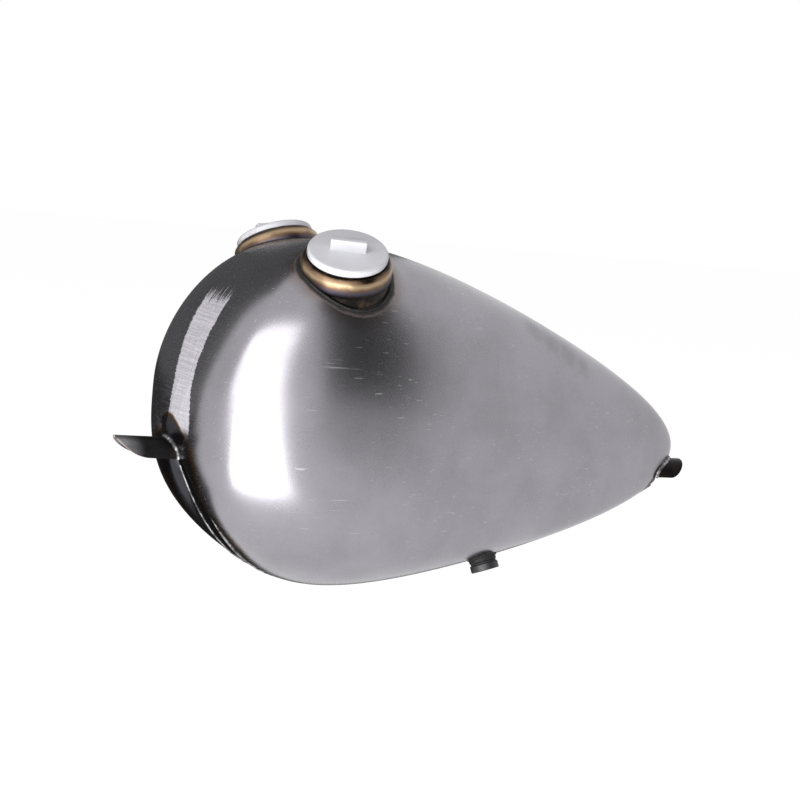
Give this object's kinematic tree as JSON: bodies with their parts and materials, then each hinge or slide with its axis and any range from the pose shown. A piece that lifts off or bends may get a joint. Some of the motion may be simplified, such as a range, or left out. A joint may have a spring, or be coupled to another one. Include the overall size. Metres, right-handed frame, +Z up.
{
  "type": "motorcycle fuel tank",
  "caption": "Teardrop sheet-steel motorcycle fuel tank in raw metal, with splayed filler necks, screw plugs, a backbone tunnel, saddle tabs and a petcock outlet.",
  "frame": {"origin": "on the axis of the frame's backbone tube, under the front edge of the tunnel's crown", "axes": "+X runs rearward along the backbone tube, +Y to the rider's right, +Z up"},
  "size_m": [0.557, 0.2448, 0.3145],
  "materials": {
    "raw_steel": "satin raw sheet steel with grinding marks, grey stains and heat tint along the welds",
    "dark_steel": "rolled steel plate, dull grey to black near the welds",
    "heat_tinted_steel": "satin steel tinted bronze, blue and black by the weld's heat",
    "weld_bead": "lumpy weld metal, half shiny and half scaled",
    "soot": "matt black scale and soot",
    "white_plastic": "glossy white moulded plastic",
    "black_plastic": "black moulded plastic",
    "black_rubber": "black rubber"
  },
  "bodies": {
    "tank": {"left_shell": "raw_steel", "right_shell": "raw_steel", "tunnel": "dark_steel", "front_tab": "dark_steel", "rear_tab": "dark_steel", "left_neck_ring": "heat_tinted_steel", "right_neck_ring": "heat_tinted_steel", "left_neck_insert": "heat_tinted_steel", "right_neck_insert": "heat_tinted_steel", "petcock_bung": "soot", "centre_seam_weld": "weld_bead", "left_seam_weld": "weld_bead", "right_seam_weld": "weld_bead", "front_tab_weld": "weld_bead", "rear_tab_weld": "weld_bead", "left_neck_weld": "soot", "right_neck_weld": "soot", "petcock_weld": "soot"},
    "left_seal": {"left_cap_gasket": "black_rubber"},
    "left_plug": {"left_cap": "white_plastic"},
    "right_seal": {"right_cap_gasket": "black_rubber"},
    "right_plug": {"right_cap": "white_plastic"},
    "outlet_plug": {"petcock_plug": "black_plastic", "petcock_o_ring": "black_rubber"}
  },
  "joints": [
    {"name": "left_cap_lift", "type": "slide", "parent": "tank", "child": "left_seal", "axis": [-0.1547, -0.454, 0.8775], "range_m": [0, 0.012]},
    {"name": "left_cap_turn", "type": "hinge", "parent": "left_seal", "child": "left_plug", "pos_m": [0.11638, -0.08627, 0.1875], "axis": [-0.1547, -0.454, 0.8775], "range_deg": [0, 1440]},
    {"name": "right_cap_lift", "type": "slide", "parent": "tank", "child": "right_seal", "axis": [-0.1547, 0.454, 0.8775], "range_m": [0, 0.012]},
    {"name": "right_cap_turn", "type": "hinge", "parent": "right_seal", "child": "right_plug", "pos_m": [0.11638, 0.08627, 0.1875], "axis": [-0.1547, 0.454, 0.8775], "range_deg": [0, 1440]},
    {"name": "outlet_plug_pull", "type": "slide", "parent": "tank", "child": "outlet_plug", "axis": [0.2664, -0.2853, -0.9207], "range_m": [0, 0.012]}
  ],
  "couplings": [
    {"joint": "left_cap_lift", "follows": "left_cap_turn", "m_per_rad": 0.00047746},
    {"joint": "right_cap_lift", "follows": "right_cap_turn", "m_per_rad": 0.00047746}
  ]
}
